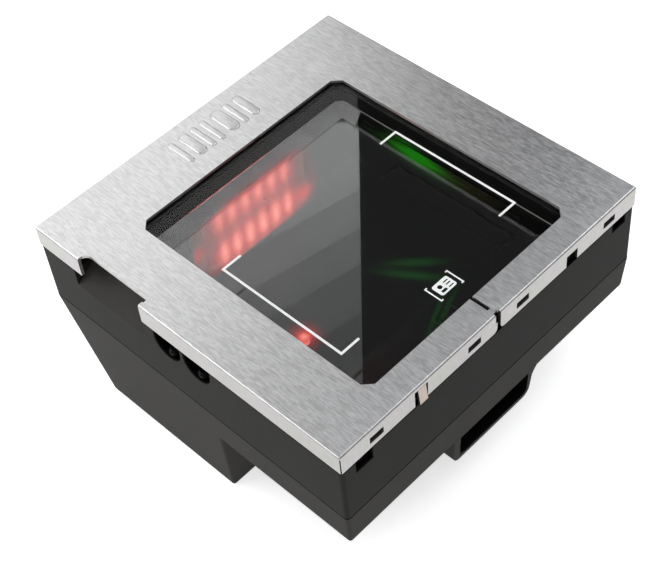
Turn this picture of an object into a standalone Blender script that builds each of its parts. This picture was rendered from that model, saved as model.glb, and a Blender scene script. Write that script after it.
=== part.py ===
"""Flatbed barcode scanner for a checkout counter: lift-off metal platter over a two-part plastic case.

World frame: metres, +Z up, origin under the middle of the platter at the level of the deep foot.
-Y is the side with the finger notch, +X is the side with the cable sleeve. Sizes below are millimetres.
"""
import math

import bmesh
import bpy
from mathutils import Matrix, Vector

MM = 0.001
GAP = 0.3              # clearance between neighbouring pieces

# ---- driving dimensions ----
SIDE = 152.4           # platter width and length
HEIGHT = 87.0          # foot to platter top
SHEET = 1.2            # platter metal
SKIRT = 8.8            # depth of the folded edge
BEND = 1.2             # outer radius of the folded edge
WINDOW_X = (-47.2, 64.8)
WINDOW_Y = 51.0        # half length of the window opening
WINDOW_CUT = 3.3       # corner chamfer of the window opening
GLASS = 1.3
CASE = 76.0            # half width of both case halves at the seam
WALL = 2.2
CORNER = 1.5           # rounding of the case's corners
SEAM_Z = 50.5
SEAM_GAP = 0.6
DRAFT = 0.0647         # inward lean of the lower case per millimetre of height
SHALLOW_Z = 34.0       # underside of the shallow half
FOOT_X = (-60.4, 9.4)  # the deep foot's extent at the bottom
STEP_TOP_X = 11.2      # step wall, at the shallow underside
SLANT_TOP_Z = 49.0     # where the slanting rear wall starts
COLLAR_FOOT_Z = 76.0   # lower edge of the wall round the window
TONGUE_Y = (-39.9, -36.1)
TONGUE_FLARE = 0.75    # how far a spring tongue's lip stands out
TONGUE_ROOT_Z = 85.2
WELL_X = 7.5
WELL_Z = 74.4          # centre height of the half round screw wells
WELL_RADIUS = 6.8
CORNER_POCKETS = ((-69.7, -61.7, 71.6), (63.3, 70.9, 73.0))    # y from, y to, floor height
POST_Z = 42.0          # underside of the posts that take the case screws
POST_HALF = 4.4        # half width of those posts
SCREW_HOLE = 1.7       # radius of the case screw holes
DECK_Z = (78.5, 80.1)  # underside and top of the upper case's flat top
EDGE_SLOTS_Y = (-59.6, -12.0, 13.0, 60.6)
EDGE_SLOT_HALF = 3.2
EDGE_SLOT_Z = (80.4, 83.4)
OPEN_NOTCH_Y = (36.7, 42.7)
NOTCH_X = (-51.8, -19.4)       # finger notch in the platter's folded edge
NOTCH_DEPTH = 2.6
SCOOP_X = (-57.0, -20.0)       # finger scoop in the case below it
BREAK_X = 72.6         # outer end of the slit that breaks the metal loop
BAR_START = (-69.5, -17.0)
BAR_LENGTH = 13.0
BAR_RISE = 0.35
BAR_ROWS = ((1.6, 5.0), (3.4, 6.2), (1.6, 4.6), (1.6, 5.4), (4.4, 6.8), (1.6, 4.8), (3.0, 0.0))
BRACKET_X = (-11.0, 47.0)
BRACKET_Y = 45.0
BRACKET_RETURN = 8.9
INK_WIDTH = 0.9
INK_THICK = 0.1
SLEEVE_X = 58.0        # inner end of the cable sleeve
SLEEVE_Y = (-21.6, 20.9)
SLEEVE_Z = 20.3
SLEEVE_WALL = 3.4
TUB_WALL = 1.5
TUB_FLOOR_Z = 41.0
TUB_SIDE = 53.5        # half width of the chamber below the collar
PANE = 1.0             # thickness of the inner pane
LENS_Z = 54.5
LED_ROWS = (46.0, 63.8)
LED_PITCH = 6.75
LED_MIDDLE = -2.8      # the rows' middle along Y
LIGHT_BAR_Z = (65.0, 68.6)
AIMER = (7.4, -27.6)
BOARD_Z = 10.0
BOARD_THICK = 1.6
SPEAKER = (-26.0, -56.0)

PLATE_BOTTOM = HEIGHT - SHEET
SKIRT_Z = HEIGHT - SKIRT
GLASS_TOP = PLATE_BOTTOM - 0.2
INK_TOP = GLASS_TOP - GLASS - 0.12
RIM = SIDE / 2 - SHEET - 0.4
LEDGE_Z = SKIRT_Z - 0.7
UPPER_Z = SEAM_Z + SEAM_GAP / 2
LOWER_Z = SEAM_Z - SEAM_GAP / 2
TUB_FLANGE_Z = (DECK_Z[1] + GAP, DECK_Z[1] + GAP + 1.3)
PANE_TOP = COLLAR_FOOT_Z - GAP


# ---- materials ----
def material(name, color, roughness, metallic=0.0, alpha=1.0):
    mat = bpy.data.materials.get(name)
    if mat is None:
        mat = bpy.data.materials.new(name)
        mat.use_nodes = True
        shader = mat.node_tree.nodes["Principled BSDF"]
        shader.inputs["Base Color"].default_value = (*color, 1.0)
        shader.inputs["Roughness"].default_value = roughness
        shader.inputs["Metallic"].default_value = metallic
        shader.inputs["Alpha"].default_value = alpha
    return mat


def steel():
    return material("brushed stainless steel", (0.62, 0.62, 0.63), 0.32, 1.0)


def case_plastic():
    return material("case plastic", (0.038, 0.036, 0.034), 0.55)


def lower_plastic():
    return material("lower case plastic", (0.062, 0.060, 0.057), 0.6)


def black_plastic():
    return material("black plastic", (0.012, 0.012, 0.012), 0.5)


def rubber():
    return material("black rubber", (0.02, 0.02, 0.02), 0.8)


def clear_glass():
    return material("clear glass", (0.9, 0.92, 0.92), 0.05, 0.0, 0.3)


def white_ink():
    return material("white ink", (0.9, 0.9, 0.9), 0.6)


def mirror_silver():
    return material("mirror silver", (0.9, 0.9, 0.9), 0.03, 1.0)


def board_green():
    return material("circuit board", (0.02, 0.09, 0.04), 0.5)


def red_lens():
    return material("red lens", (0.7, 0.03, 0.02), 0.3)


def green_lens():
    return material("green lens", (0.05, 0.7, 0.08), 0.3)


def zinc():
    return material("zinc plated steel", (0.55, 0.55, 0.56), 0.35, 1.0)


def blackened_steel():
    return material("blackened steel", (0.06, 0.06, 0.065), 0.4, 1.0)


def copper():
    return material("copper foil", (0.72, 0.4, 0.25), 0.4, 1.0)


def amber_film():
    return material("amber film", (0.45, 0.2, 0.05), 0.45)


def can_metal():
    return material("tinned sheet", (0.6, 0.6, 0.58), 0.4, 1.0)


def cone_paper():
    return material("cone paper", (0.05, 0.05, 0.05), 0.9)


# ---- mesh helpers, all in millimetres ----
def make_object(name, bm, mat):
    bmesh.ops.recalc_face_normals(bm, faces=bm.faces)
    mesh = bpy.data.meshes.new(name)
    bm.to_mesh(mesh)
    bm.free()
    obj = bpy.data.objects.new(name, mesh)
    bpy.context.scene.collection.objects.link(obj)
    mesh.materials.append(mat)
    return obj


def box(low, high):
    bm = bmesh.new()
    bmesh.ops.create_cube(bm, size=1.0)
    size = [(b - a) * MM for a, b in zip(low, high)]
    middle = [(a + b) / 2 * MM for a, b in zip(low, high)]
    place = Matrix.Translation(middle) @ Matrix.Diagonal((*size, 1.0))
    bmesh.ops.transform(bm, matrix=place, verts=bm.verts)
    return bm


def prism(outline, place_low, place_high):
    """Close a solid between two copies of an outline, each put in space by its place function."""
    bm = bmesh.new()
    low = [bm.verts.new([c * MM for c in place_low(*p)]) for p in outline]
    high = [bm.verts.new([c * MM for c in place_high(*p)]) for p in outline]
    bm.faces.new(low)
    bm.faces.new(list(reversed(high)))
    for i in range(len(outline)):
        j = (i + 1) % len(outline)
        bm.faces.new((low[j], low[i], high[i], high[j]))
    bmesh.ops.recalc_face_normals(bm, faces=bm.faces)
    return bm


def prism_z(outline, z0, z1):
    return prism(outline, lambda x, y: (x, y, z0), lambda x, y: (x, y, z1))


def prism_y(outline, y0, y1):
    return prism(outline, lambda x, z: (x, y0, z), lambda x, z: (x, y1, z))


def prism_x(outline, x0, x1):
    return prism(outline, lambda y, z: (x0, y, z), lambda y, z: (x1, y, z))


def cylinder(radius, z0, z1, center=(0.0, 0.0), sides=20):
    bm = bmesh.new()
    place = Matrix.Translation((center[0] * MM, center[1] * MM, (z0 + z1) / 2 * MM))
    r = radius * MM
    bmesh.ops.create_cone(bm, cap_ends=True, segments=sides, radius1=r, radius2=r,
                          depth=(z1 - z0) * MM, matrix=place)
    return bm


def cylinder_x(radius, x0, x1, center, sides=24):
    bm = cylinder(radius, x0, x1, sides=sides)
    turn = Matrix.Rotation(math.radians(90), 4, "Y")
    place = Matrix.Translation((0, center[0] * MM, center[1] * MM))
    bmesh.ops.transform(bm, matrix=place @ turn, verts=bm.verts)
    return bm


def turned(profile, center, sides=28):
    """Revolve a closed radius/height outline about a vertical line."""
    bm = bmesh.new()
    rings = []
    for k in range(sides):
        a = 2 * math.pi * k / sides
        points = [(center[0] + r * math.cos(a), center[1] + r * math.sin(a), z) for r, z in profile]
        rings.append([bm.verts.new([c * MM for c in p]) for p in points])
    for k in range(sides):
        ring, after = rings[k], rings[(k + 1) % sides]
        for i in range(len(profile)):
            j = (i + 1) % len(profile)
            bm.faces.new((ring[i], ring[j], after[j], after[i]))
    bmesh.ops.recalc_face_normals(bm, faces=bm.faces)
    return bm


def arc(cx, cy, radius, start, end, steps):
    """Points along an arc, angles in degrees."""
    angles = [math.radians(start + (end - start) * i / steps) for i in range(steps + 1)]
    return [(cx + radius * math.cos(a), cy + radius * math.sin(a)) for a in angles]


def round_rect(x0, x1, y0, y1, radius, steps=4):
    points = arc(x1 - radius, y1 - radius, radius, 0, 90, steps)
    points += arc(x0 + radius, y1 - radius, radius, 90, 180, steps)
    points += arc(x0 + radius, y0 + radius, radius, 180, 270, steps)
    return points + arc(x1 - radius, y0 + radius, radius, 270, 360, steps)


def octagon(grow):
    """The window outline, grown on every side."""
    x0, x1 = WINDOW_X[0] - grow, WINDOW_X[1] + grow
    y = WINDOW_Y + grow
    c = WINDOW_CUT
    right = [(x0 + c, -y), (x1 - c, -y), (x1, -y + c), (x1, y - c)]
    return right + [(x1 - c, y), (x0 + c, y), (x0, y - c), (x0, -y + c)]


def rectangle(grow, grow_y=None):
    grow_y = grow if grow_y is None else grow_y
    x0, x1 = WINDOW_X[0] - grow, WINDOW_X[1] + grow
    y = WINDOW_Y + grow_y
    return [(x0, -y), (x1, -y), (x1, y), (x0, y)]


def numbered(name, meshes, mat):
    """Give each solid of a repeated piece its own numbered object."""
    return [make_object(f"{name}_{i + 1}", bm, mat) for i, bm in enumerate(meshes)]


def boolean(obj, operation, meshes):
    """Join or cut an object with other solids, one at a time."""
    for bm in meshes:
        tool = make_object("tool", bm, obj.data.materials[0])
        mod = obj.modifiers.new(operation, "BOOLEAN")
        mod.operation = operation
        mod.object = tool
        mod.solver = "EXACT"
        result = bpy.data.meshes.new_from_object(obj.evaluated_get(bpy.context.evaluated_depsgraph_get()))
        obj.modifiers.clear()
        obj.data = result
        bpy.data.objects.remove(tool)
    obj.data.name = obj.name


def cut(obj, *meshes):
    boolean(obj, "DIFFERENCE", meshes)


def join(obj, *meshes):
    boolean(obj, "UNION", meshes)


def shade(obj):
    obj.data.shade_smooth()
    obj.data.set_sharp_from_angle(angle=math.radians(35))


def bevel_edges(bm, chosen, width, segments):
    bmesh.ops.bevel(bm, geom=[e for e in bm.edges if chosen(e)], offset=width * MM, segments=segments,
                    profile=0.5, affect="EDGES", clamp_overlap=True)


def edge_middle(edge):
    return (edge.verts[0].co + edge.verts[1].co) / 2 / MM


def is_vertical(edge):
    run = edge.verts[0].co - edge.verts[1].co
    return abs(run.z) > 0.7 * run.length


# ---- platter ----
def slot_cutter(y0, y1, z0, z1):
    return box((SIDE / 2 - 4, y0, z0), (SIDE / 2 + 4, y1, z1))


def build_top_plate():
    half = SIDE / 2
    bm = box((-half, -half, SKIRT_Z), (half, half, HEIGHT))
    bevel_edges(bm, is_vertical, 0.6, 2)
    bevel_edges(bm, lambda e: edge_middle(e).z > HEIGHT - 0.01, BEND, 4)
    plate = make_object("top_plate", bm, steel())
    inner = half - SHEET
    cut(plate, box((-inner, -inner, SKIRT_Z - 5), (inner, inner, PLATE_BOTTOM)))
    cut(plate, prism_z(octagon(0), PLATE_BOTTOM - 5, HEIGHT + 5))
    # finger notch in the -Y edge: a relief arc at its left end, a chamfer at its right end
    notch_y = -half + NOTCH_DEPTH
    x0, x1 = NOTCH_X
    notch = arc(x0 + 2.9, notch_y - 1.5, 2.9, 90, 180, 5) + [(x0, -half - 3), (x1, -half - 3)]
    notch += [(x1, -half + 1.9), (x1 + 0.7, notch_y - 0.2), (x1 + 0.4, notch_y + 1.4)]
    cut(plate, prism_z(notch, SKIRT_Z - 3, HEIGHT + 3))
    # slots, open notch and spring tongue windows in the folded edges
    for y in EDGE_SLOTS_Y:
        cut(plate, slot_cutter(y - EDGE_SLOT_HALF, y + EDGE_SLOT_HALF, *EDGE_SLOT_Z))
    cut(plate, slot_cutter(*OPEN_NOTCH_Y, SKIRT_Z - 3, EDGE_SLOT_Z[1]))
    for side in (-1, 1):
        x0, x1 = sorted((side * (half - 2.4), side * (half + 4)))
        top = TONGUE_ROOT_Z + 0.15
        cut(plate, box((x0, TONGUE_Y[0] - 1.6, SKIRT_Z - 3), (x1, TONGUE_Y[1] + 0.9, top)))
    # break in the metal loop: a slit in the top, a relief at the bend and a split edge with rounded corners
    cut(plate, box((WINDOW_X[1] - 3, -1.15, PLATE_BOTTOM - 3), (BREAK_X, 0.25, HEIGHT + 3)))
    round_z = SKIRT_Z + 1.9
    split = [(-2.6, SKIRT_Z - 3), (3.8, SKIRT_Z - 3)] + arc(3.3, round_z, 1.9, -90, -180, 4)
    split += [(1.4, HEIGHT + 3), (-0.3, HEIGHT + 3)] + arc(-2.2, round_z, 1.9, 0, -90, 4)
    cut(plate, prism_x(split, half - 1.3, half + 3))
    cut(plate, box((half - 1.8, -1.15, PLATE_BOTTOM - 3), (half + 3, 0.9, HEIGHT + 3)))
    # hairline slits where two folded edges meet
    for sx in (-1, 1):
        for sy in (-1, 1):
            slit = box((-2.2, -0.2, SKIRT_Z - 3), (2.2, 0.2, HEIGHT - 1.0))
            turn = Matrix.Translation((sx * (half - 0.6) * MM, sy * (half - 0.6) * MM, 0))
            turn = turn @ Matrix.Rotation(math.atan2(sy, sx), 4, "Z")
            bmesh.ops.transform(slit, matrix=turn, verts=slit.verts)
            cut(plate, slit)
    # raised bars pressed into the wide border
    x, y = BAR_START
    for width, pitch in BAR_ROWS:
        outline = round_rect(x, x + BAR_LENGTH, y, y + width, width / 2 - 0.05, 3)
        join(plate, prism_z(outline, PLATE_BOTTOM + 0.4, HEIGHT + BAR_RISE))
        y += pitch
    shade(plate)


def build_slit_insert():
    low = (WINDOW_X[1] + GAP, -0.85, PLATE_BOTTOM + 0.1)
    make_object("slit_insert", box(low, (BREAK_X - GAP, -0.05, HEIGHT - 0.5)), black_plastic())


def build_glass():
    slab = prism_z(rectangle(3.8), GLASS_TOP - GLASS, GLASS_TOP)
    make_object("window_glass", slab, clear_glass())


def frame_solid(name, inner, outer, z0, z1, mat):
    frame = make_object(name, prism_z(outer, z0, z1), mat)
    cut(frame, prism_z(inner, z0 - 1, z1 + 1))
    return frame


def build_glass_mounting():
    low = GLASS_TOP - GLASS
    frame_solid("glass_gasket", rectangle(4.1), rectangle(6.0), low, GLASS_TOP, rubber())
    top = low - GAP
    frame_solid("glass_carrier", rectangle(1.0), rectangle(7.0), top - 1.1, top, black_plastic())


def build_printed_brackets():
    x0, x1 = BRACKET_X
    for name, side in (("scan_bracket_front", -1), ("scan_bracket_back", 1)):
        outer = side * BRACKET_Y
        inner = side * (BRACKET_Y - INK_WIDTH)
        end = side * (BRACKET_Y - BRACKET_RETURN)
        outline = [(x0, outer), (x1, outer), (x1, end), (x1 - INK_WIDTH, end)]
        outline += [(x1 - INK_WIDTH, inner), (x0 + INK_WIDTH, inner), (x0 + INK_WIDTH, end), (x0, end)]
        make_object(name, prism_z(outline, INK_TOP - INK_THICK, INK_TOP), white_ink())


def build_card_symbol():
    top = INK_TOP
    outline = round_rect(50.3, 55.7, -4.4, 3.2, 0.8, 3)
    card = make_object("card_symbol", prism_z(outline, top - INK_THICK, top), white_ink())
    cut(card, cylinder(0.95, top - 1, top + 1, (52.3, -2.1), 14))
    cut(card, prism_z(round_rect(53.8, 55.0, -3.3, -0.7, 0.5, 3), top - 1, top + 1))
    for x in (51.8, 53.1, 54.6):
        cut(card, box((x - 0.28, 0.1, top - 1), (x + 0.28, 2.4, top + 1)))


def build_tongue(name, side):
    half = SIDE / 2
    lean = [(half, TONGUE_ROOT_Z), (half + TONGUE_FLARE, SKIRT_Z + 0.6), (half + TONGUE_FLARE, SKIRT_Z),
            (half + TONGUE_FLARE - 0.9, SKIRT_Z), (half - 0.9, TONGUE_ROOT_Z)]
    outline = [(side * x, z) for x, z in lean]
    tongue = make_object(name, prism_y(outline, *TONGUE_Y), steel())
    pivot = Vector((side * (half - 0.45), sum(TONGUE_Y) / 2, TONGUE_ROOT_Z)) * MM
    tongue.data.transform(Matrix.Translation(-pivot))
    tongue.location = pivot


# ---- upper case ----
def half_round(x, z, radius, top):
    """A U outline: a half circle below, straight up to the top."""
    return arc(x, z, radius, 180, 360, 10) + [(x + radius, top), (x - radius, top)]


def screw_places():
    """Each case screw's x, y and seat height: four in the corner pockets, four in the side wells."""
    places = [(sx * 71.6, (y0 + y1) / 2, z) for sx in (-1, 1) for y0, y1, z in CORNER_POCKETS]
    places += [(sx * WELL_X, sy * 72.6, WELL_Z - WELL_RADIUS + 0.6) for sy in (-1, 1) for sx in (-1, 1)]
    return places


def build_upper_shell():
    bm = box((-CASE, -CASE, UPPER_Z), (CASE, CASE, LEDGE_Z))
    bevel_edges(bm, is_vertical, CORNER, 4)
    shell = make_object("upper_shell", bm, case_plastic())
    inside = CASE - WALL
    cut(shell, box((-inside, -inside, UPPER_Z - 5), (inside, inside, LEDGE_Z - 1.5)))
    rim = box((-RIM, -RIM, LEDGE_Z - 1.0), (RIM, RIM, DECK_Z[1]))
    bevel_edges(rim, is_vertical, 0.8, 2)
    join(shell, rim)
    inside = RIM - WALL
    cut(shell, box((-inside, -inside, LEDGE_Z - 5), (inside, inside, DECK_Z[0])))
    # blocks that carry the finger scoop, the screw wells and the corner pockets
    block_top = DECK_Z[1] - 0.4
    join(shell, box((SCOOP_X[0] - 2.5, -CASE + 1, 62.0), (SCOOP_X[1] + 2.4, -60.5, block_top)))
    for sy in (-1, 1):
        y0, y1 = sorted((sy * (CASE - 1), sy * 67.6))
        join(shell, box((-16.6, y0, UPPER_Z), (16.6, y1, block_top)))
    for sx in (-1, 1):
        x0, x1 = sorted((sx * (CASE - 1), sx * 66.8))
        for y0, y1, _ in CORNER_POCKETS:
            join(shell, box((x0, y0 - 2.4, UPPER_Z), (x1, y1 + 2.4, block_top)))
    # finger scoop: a floor that climbs inwards under the platter
    scoop = [(-CASE - 2, 67.8), (-CASE, 69.3), (-64.0, 78.0), (-64.0, 84.0), (-CASE - 2, 84.0)]
    cut(shell, prism_x(scoop, *SCOOP_X))
    for sy in (-1, 1):
        y0, y1 = sorted((sy * (CASE + 3), sy * 69.2))
        for x in (-WELL_X, WELL_X):
            cut(shell, prism_y(half_round(x, WELL_Z, WELL_RADIUS, DECK_Z[1] + 3), y0, y1))
    for sx in (-1, 1):
        x0, x1 = sorted((sx * (CASE + 3), sx * 68.4))
        for y0, y1, z in CORNER_POCKETS:
            cut(shell, box((x0, y0, z), (x1, y1, DECK_Z[1] + 3)))
    for x, y, _ in screw_places():
        cut(shell, cylinder(SCREW_HOLE, UPPER_Z - 3, 76.0, (x, y), 12))
    cut(shell, prism_z(rectangle(2.2, 4.4), DECK_Z[0] - 3, DECK_Z[1] + 3))
    for x, y in tub_ears():
        cut(shell, cylinder(1.2, DECK_Z[0] - 3, DECK_Z[1] + 3, (x, y), 10))
    shade(shell)


def tub_ears():
    return [(x, sy * 61.0) for x in (-15.0, 45.0) for sy in (-1, 1)]


# ---- lower case ----
def lower_half(z):
    """Half width of the lower case at a height: it narrows evenly towards the foot."""
    return CASE - (LOWER_Z - z) * DRAFT


def slant_x(z):
    return FOOT_X[0] - (CASE + FOOT_X[0]) * z / SLANT_TOP_Z


def step_x(z):
    return FOOT_X[1] + (STEP_TOP_X - FOOT_X[1]) * z / SHALLOW_Z


def lower_solid(thickness, top):
    """The lower case's outer form, or its hollow when a wall thickness is given."""
    t = thickness
    slope = t * math.hypot(1.0, (CASE + FOOT_X[0]) / SLANT_TOP_Z)
    outline = [(-CASE + t, top), (-CASE + t, SLANT_TOP_Z), (slant_x(t) + slope, t), (step_x(t) - t, t),
               (step_x(SHALLOW_Z + t) - t, SHALLOW_Z + t), (lower_half(SHALLOW_Z + t) - t, SHALLOW_Z + t),
               (lower_half(top) - t, top)]
    return prism(outline, lambda x, z: (x, t - lower_half(z), z), lambda x, z: (x, lower_half(z) - t, z))


def sleeve_solid(outline):
    return prism(outline, lambda y, z: (SLEEVE_X, y, z), lambda y, z: (lower_half(z), y, z))


def build_lower_shell():
    bm = lower_solid(0.0, LOWER_Z)
    bevel_edges(bm, lambda e: edge_middle(e).z < LOWER_Z - 0.5, CORNER, 3)
    shell = make_object("lower_shell", bm, lower_plastic())
    # cable sleeve under the shallow floor
    y0, y1 = SLEEVE_Y
    outer = [(y0, SHALLOW_Z + 1.0)] + arc(y0 + 3.6, SLEEVE_Z + 3.6, 3.6, 180, 270, 5)
    outer += arc(y1 - 4.0, SLEEVE_Z + 4.0, 4.0, -90, 0, 5)
    outer += [(y1 + 0.7, SHALLOW_Z - 3.0), (y1 + 1.6, SHALLOW_Z - 1.0), (y1 + 3.2, SHALLOW_Z + 1.0)]
    join(shell, sleeve_solid(outer))
    cut(shell, lower_solid(WALL, LOWER_Z + 10))
    y0, y1, low = y0 + SLEEVE_WALL, y1 - 1.7, SLEEVE_Z + 2.0
    slot = arc(y0 + 3.0, low + 3.0, 3.0, 180, 270, 4) + arc(y1 - 3.0, low + 3.0, 3.0, 270, 360, 4)
    slot += [(y1, SHALLOW_Z), (y0, SHALLOW_Z)]
    cut(shell, prism_x(slot, SLEEVE_X - 8, CASE + 9))
    # screw posts under the seam, and stand-offs for the decoder board
    for x, y, _ in screw_places():
        sx = math.copysign(1, x)
        sy = math.copysign(1, y)
        if abs(x) > 50:
            x0, x1 = sorted((x - sx * POST_HALF, 74.6 if x > 0 else -73.0))
            y0, y1 = y - POST_HALF, y + POST_HALF
        else:
            x0, x1 = x - POST_HALF, x + POST_HALF
            y0, y1 = sorted((y - sy * POST_HALF, sy * 74.4))
        join(shell, box((x0, y0, POST_Z), (x1, y1, LOWER_Z)))
        cut(shell, cylinder(SCREW_HOLE, POST_Z + 1.0, LOWER_Z + 3, (x, y), 12))
    for x, y in board_posts():
        join(shell, cylinder(3.0, WALL - 0.5, BOARD_Z - GAP, (x, y), 16))
        cut(shell, cylinder(1.2, WALL + 1.5, BOARD_Z + 3, (x, y), 10))
    # socket windows in the step wall
    for y0, y1, z0, z1 in socket_fronts().values():
        cut(shell, box((4.0, y0 - GAP, z0 - GAP), (14.0, y1 + GAP, z1 + GAP)))
    # sound slots under the speaker
    x = SPEAKER[0]
    for k in range(-2, 3):
        y = SPEAKER[1] + 4 * k
        cut(shell, box((x - 8, y - 0.9, -3), (x + 8, y + 0.9, 5)))
    shade(shell)


def build_seam_gasket():
    outer, inner = ([(-h, -h), (h, -h), (h, h), (-h, h)] for h in (CASE - 0.8, CASE - 1.7))
    frame_solid("seam_gasket", inner, outer, SEAM_Z - 0.16, SEAM_Z + 0.16, rubber())


def screw(x, y, head_low, head_radius, head_height, shank_radius, length):
    """A pan head with a dimple for the drive, on a plain shank."""
    middle = head_low + head_height * 0.5
    top = head_low + head_height
    profile = [(head_radius, head_low), (head_radius, middle), (head_radius * 0.72, top)]
    profile += [(head_radius * 0.3, top), (0.06, middle), (0.06, head_low - length)]
    profile += [(shank_radius, head_low - length), (shank_radius, head_low)]
    return turned(profile, (x, y), 12)


def build_shell_screws():
    meshes = [screw(x, y, z + GAP, 2.7, 2.2, 1.35, z - POST_Z - 1.5) for x, y, z in screw_places()]
    numbered("shell_screw", meshes, blackened_steel())


# ---- under the platter ----
def build_plate_pad():
    outline = round_rect(-72.2, -67.8, -56.0, 56.0, 2.0, 3)
    make_object("plate_pad", prism_z(outline, DECK_Z[1] + GAP, PLATE_BOTTOM - GAP), rubber())


def build_antenna_loop():
    outer = round_rect(-64.0, 73.6, -68.5, 68.5, 6.0)
    inner = round_rect(-60.0, 70.6, -65.0, 65.0, 3.0)
    loop = make_object("antenna_loop", prism_z(outer, DECK_Z[1] + GAP, DECK_Z[1] + 1.6), copper())
    cut(loop, prism_z(inner, DECK_Z[1], DECK_Z[1] + 3))


# ---- optics ----
def tub_profile(grow):
    """The chamber's side outline: upright wall, flat floor and a 45 degree slope that carries the mirror."""
    x0, x1 = WINDOW_X
    run = COLLAR_FOOT_Z - TUB_FLOOR_Z
    slope = grow * math.tan(math.radians(22.5))
    outline = [(x0 - grow, COLLAR_FOOT_Z + grow), (x0 - grow, TUB_FLOOR_Z - grow)]
    outline += [(x1 - run + slope, TUB_FLOOR_Z - grow), (x1 + grow, COLLAR_FOOT_Z - slope)]
    if grow > 0:
        outline.append((x1 + grow, COLLAR_FOOT_Z + grow))
    return outline


def build_optics_tub():
    half = TUB_SIDE + TUB_WALL
    tub = make_object("optics_tub", prism_y(tub_profile(TUB_WALL), -half, half), black_plastic())
    join(tub, prism_z(octagon(TUB_WALL), COLLAR_FOOT_Z, TUB_FLANGE_Z[1]))
    join(tub, prism_z(rectangle(4.8, 7.2), *TUB_FLANGE_Z))
    for x, y in tub_ears():
        y0, y1 = sorted((math.copysign(56.0, y), math.copysign(64.2, y)))
        join(tub, box((x - 3.5, y0, TUB_FLANGE_Z[0]), (x + 3.5, y1, TUB_FLANGE_Z[1])))
        cut(tub, cylinder(1.6, TUB_FLANGE_Z[0] - 2, TUB_FLANGE_Z[1] + 2, (x, y), 12))
    cut(tub, prism_y(tub_profile(0.0), -TUB_SIDE, TUB_SIDE))
    cut(tub, prism_z(octagon(0.0), COLLAR_FOOT_Z - 5, TUB_FLANGE_Z[1] + 3))
    cut(tub, cylinder_x(5.5, WINDOW_X[0] - 4, WINDOW_X[0] + 3, (0.0, LENS_Z)))
    # ledges on the two side walls that carry the inner pane
    top = PANE_TOP - PANE - GAP
    for side in (-1, 1):
        y0, y1 = sorted((side * (TUB_SIDE - 1.3), side * (TUB_SIDE + 0.5)))
        join(tub, box((WINDOW_X[0] + 4, y0, top - 1.3), (WINDOW_X[1] - 10, y1, top)))


def build_inner_glass():
    """The lower pane, which closes the chamber just under the collar."""
    low = (WINDOW_X[0] + GAP, GAP - TUB_SIDE, PANE_TOP - PANE)
    high = (WINDOW_X[1] - PANE - 2 * GAP - 0.6, TUB_SIDE - GAP, PANE_TOP)
    make_object("inner_glass", box(low, high), clear_glass())


def build_tub_seal():
    z0 = TUB_FLANGE_Z[1] + GAP
    frame_solid("tub_seal", octagon(0.2), octagon(2.6), z0, z0 + 0.6, rubber())


def build_tub_screws():
    seat = TUB_FLANGE_Z[1] + 0.1
    numbered("tub_screw", [screw(x, y, seat, 2.3, 1.5, 0.9, 5.0) for x, y in tub_ears()], zinc())


def tilted_plate(along0, along1, y0, y1, off0, off1):
    """A plate on the tub's 45 degree slope: distances run up the slope, and off is the height above it."""
    foot_x = WINDOW_X[1] - (COLLAR_FOOT_Z - TUB_FLOOR_Z)
    c = math.sqrt(0.5)

    def place(s, h):
        return (foot_x + s * c - h * c, TUB_FLOOR_Z + s * c + h * c)

    corners = ((along0, off0), (along1, off0), (along1, off1), (along0, off1))
    return prism_y([place(s, h) for s, h in corners], y0, y1)


def build_mirror():
    make_object("main_mirror", tilted_plate(4.0, 44.0, -46.0, 46.0, GAP, 1.8), mirror_silver())


def build_illumination():
    wall_x = WINDOW_X[0]
    outline = round_rect(-27.0, 27.0, 42.6, 67.4, 2.0, 3)
    slab = prism_x(outline, wall_x + GAP, wall_x + 1.9)
    board = make_object("illumination_board", slab, board_green())
    cut(board, cylinder_x(6.0, wall_x - 2, wall_x + 5, (0.0, LENS_Z)))
    for name, z in zip(("lower", "upper"), LED_ROWS):
        y0, y1 = LED_MIDDLE - 20.0, LED_MIDDLE + 20.0
        base = box((wall_x + 2.2, y0, z - 1.9), (wall_x + 2.8, y1, z + 1.9))
        strip = make_object(f"led_strip_{name}", base, red_lens())
        for k in range(6):
            y = LED_MIDDLE + (k - 2.5) * LED_PITCH
            join(strip, box((wall_x + 2.5, y - 1.5, z - 1.5), (wall_x + 3.6, y + 1.5, z + 1.5)))
        outline = round_rect(y0 - 1.5, y1 + 1.5, z - 2.4, z + 2.4, 2.3, 5)
        cover = prism_x(outline, wall_x + 4.0, wall_x + 5.6)
        make_object(f"led_diffuser_{name}", cover, red_lens())


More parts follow.
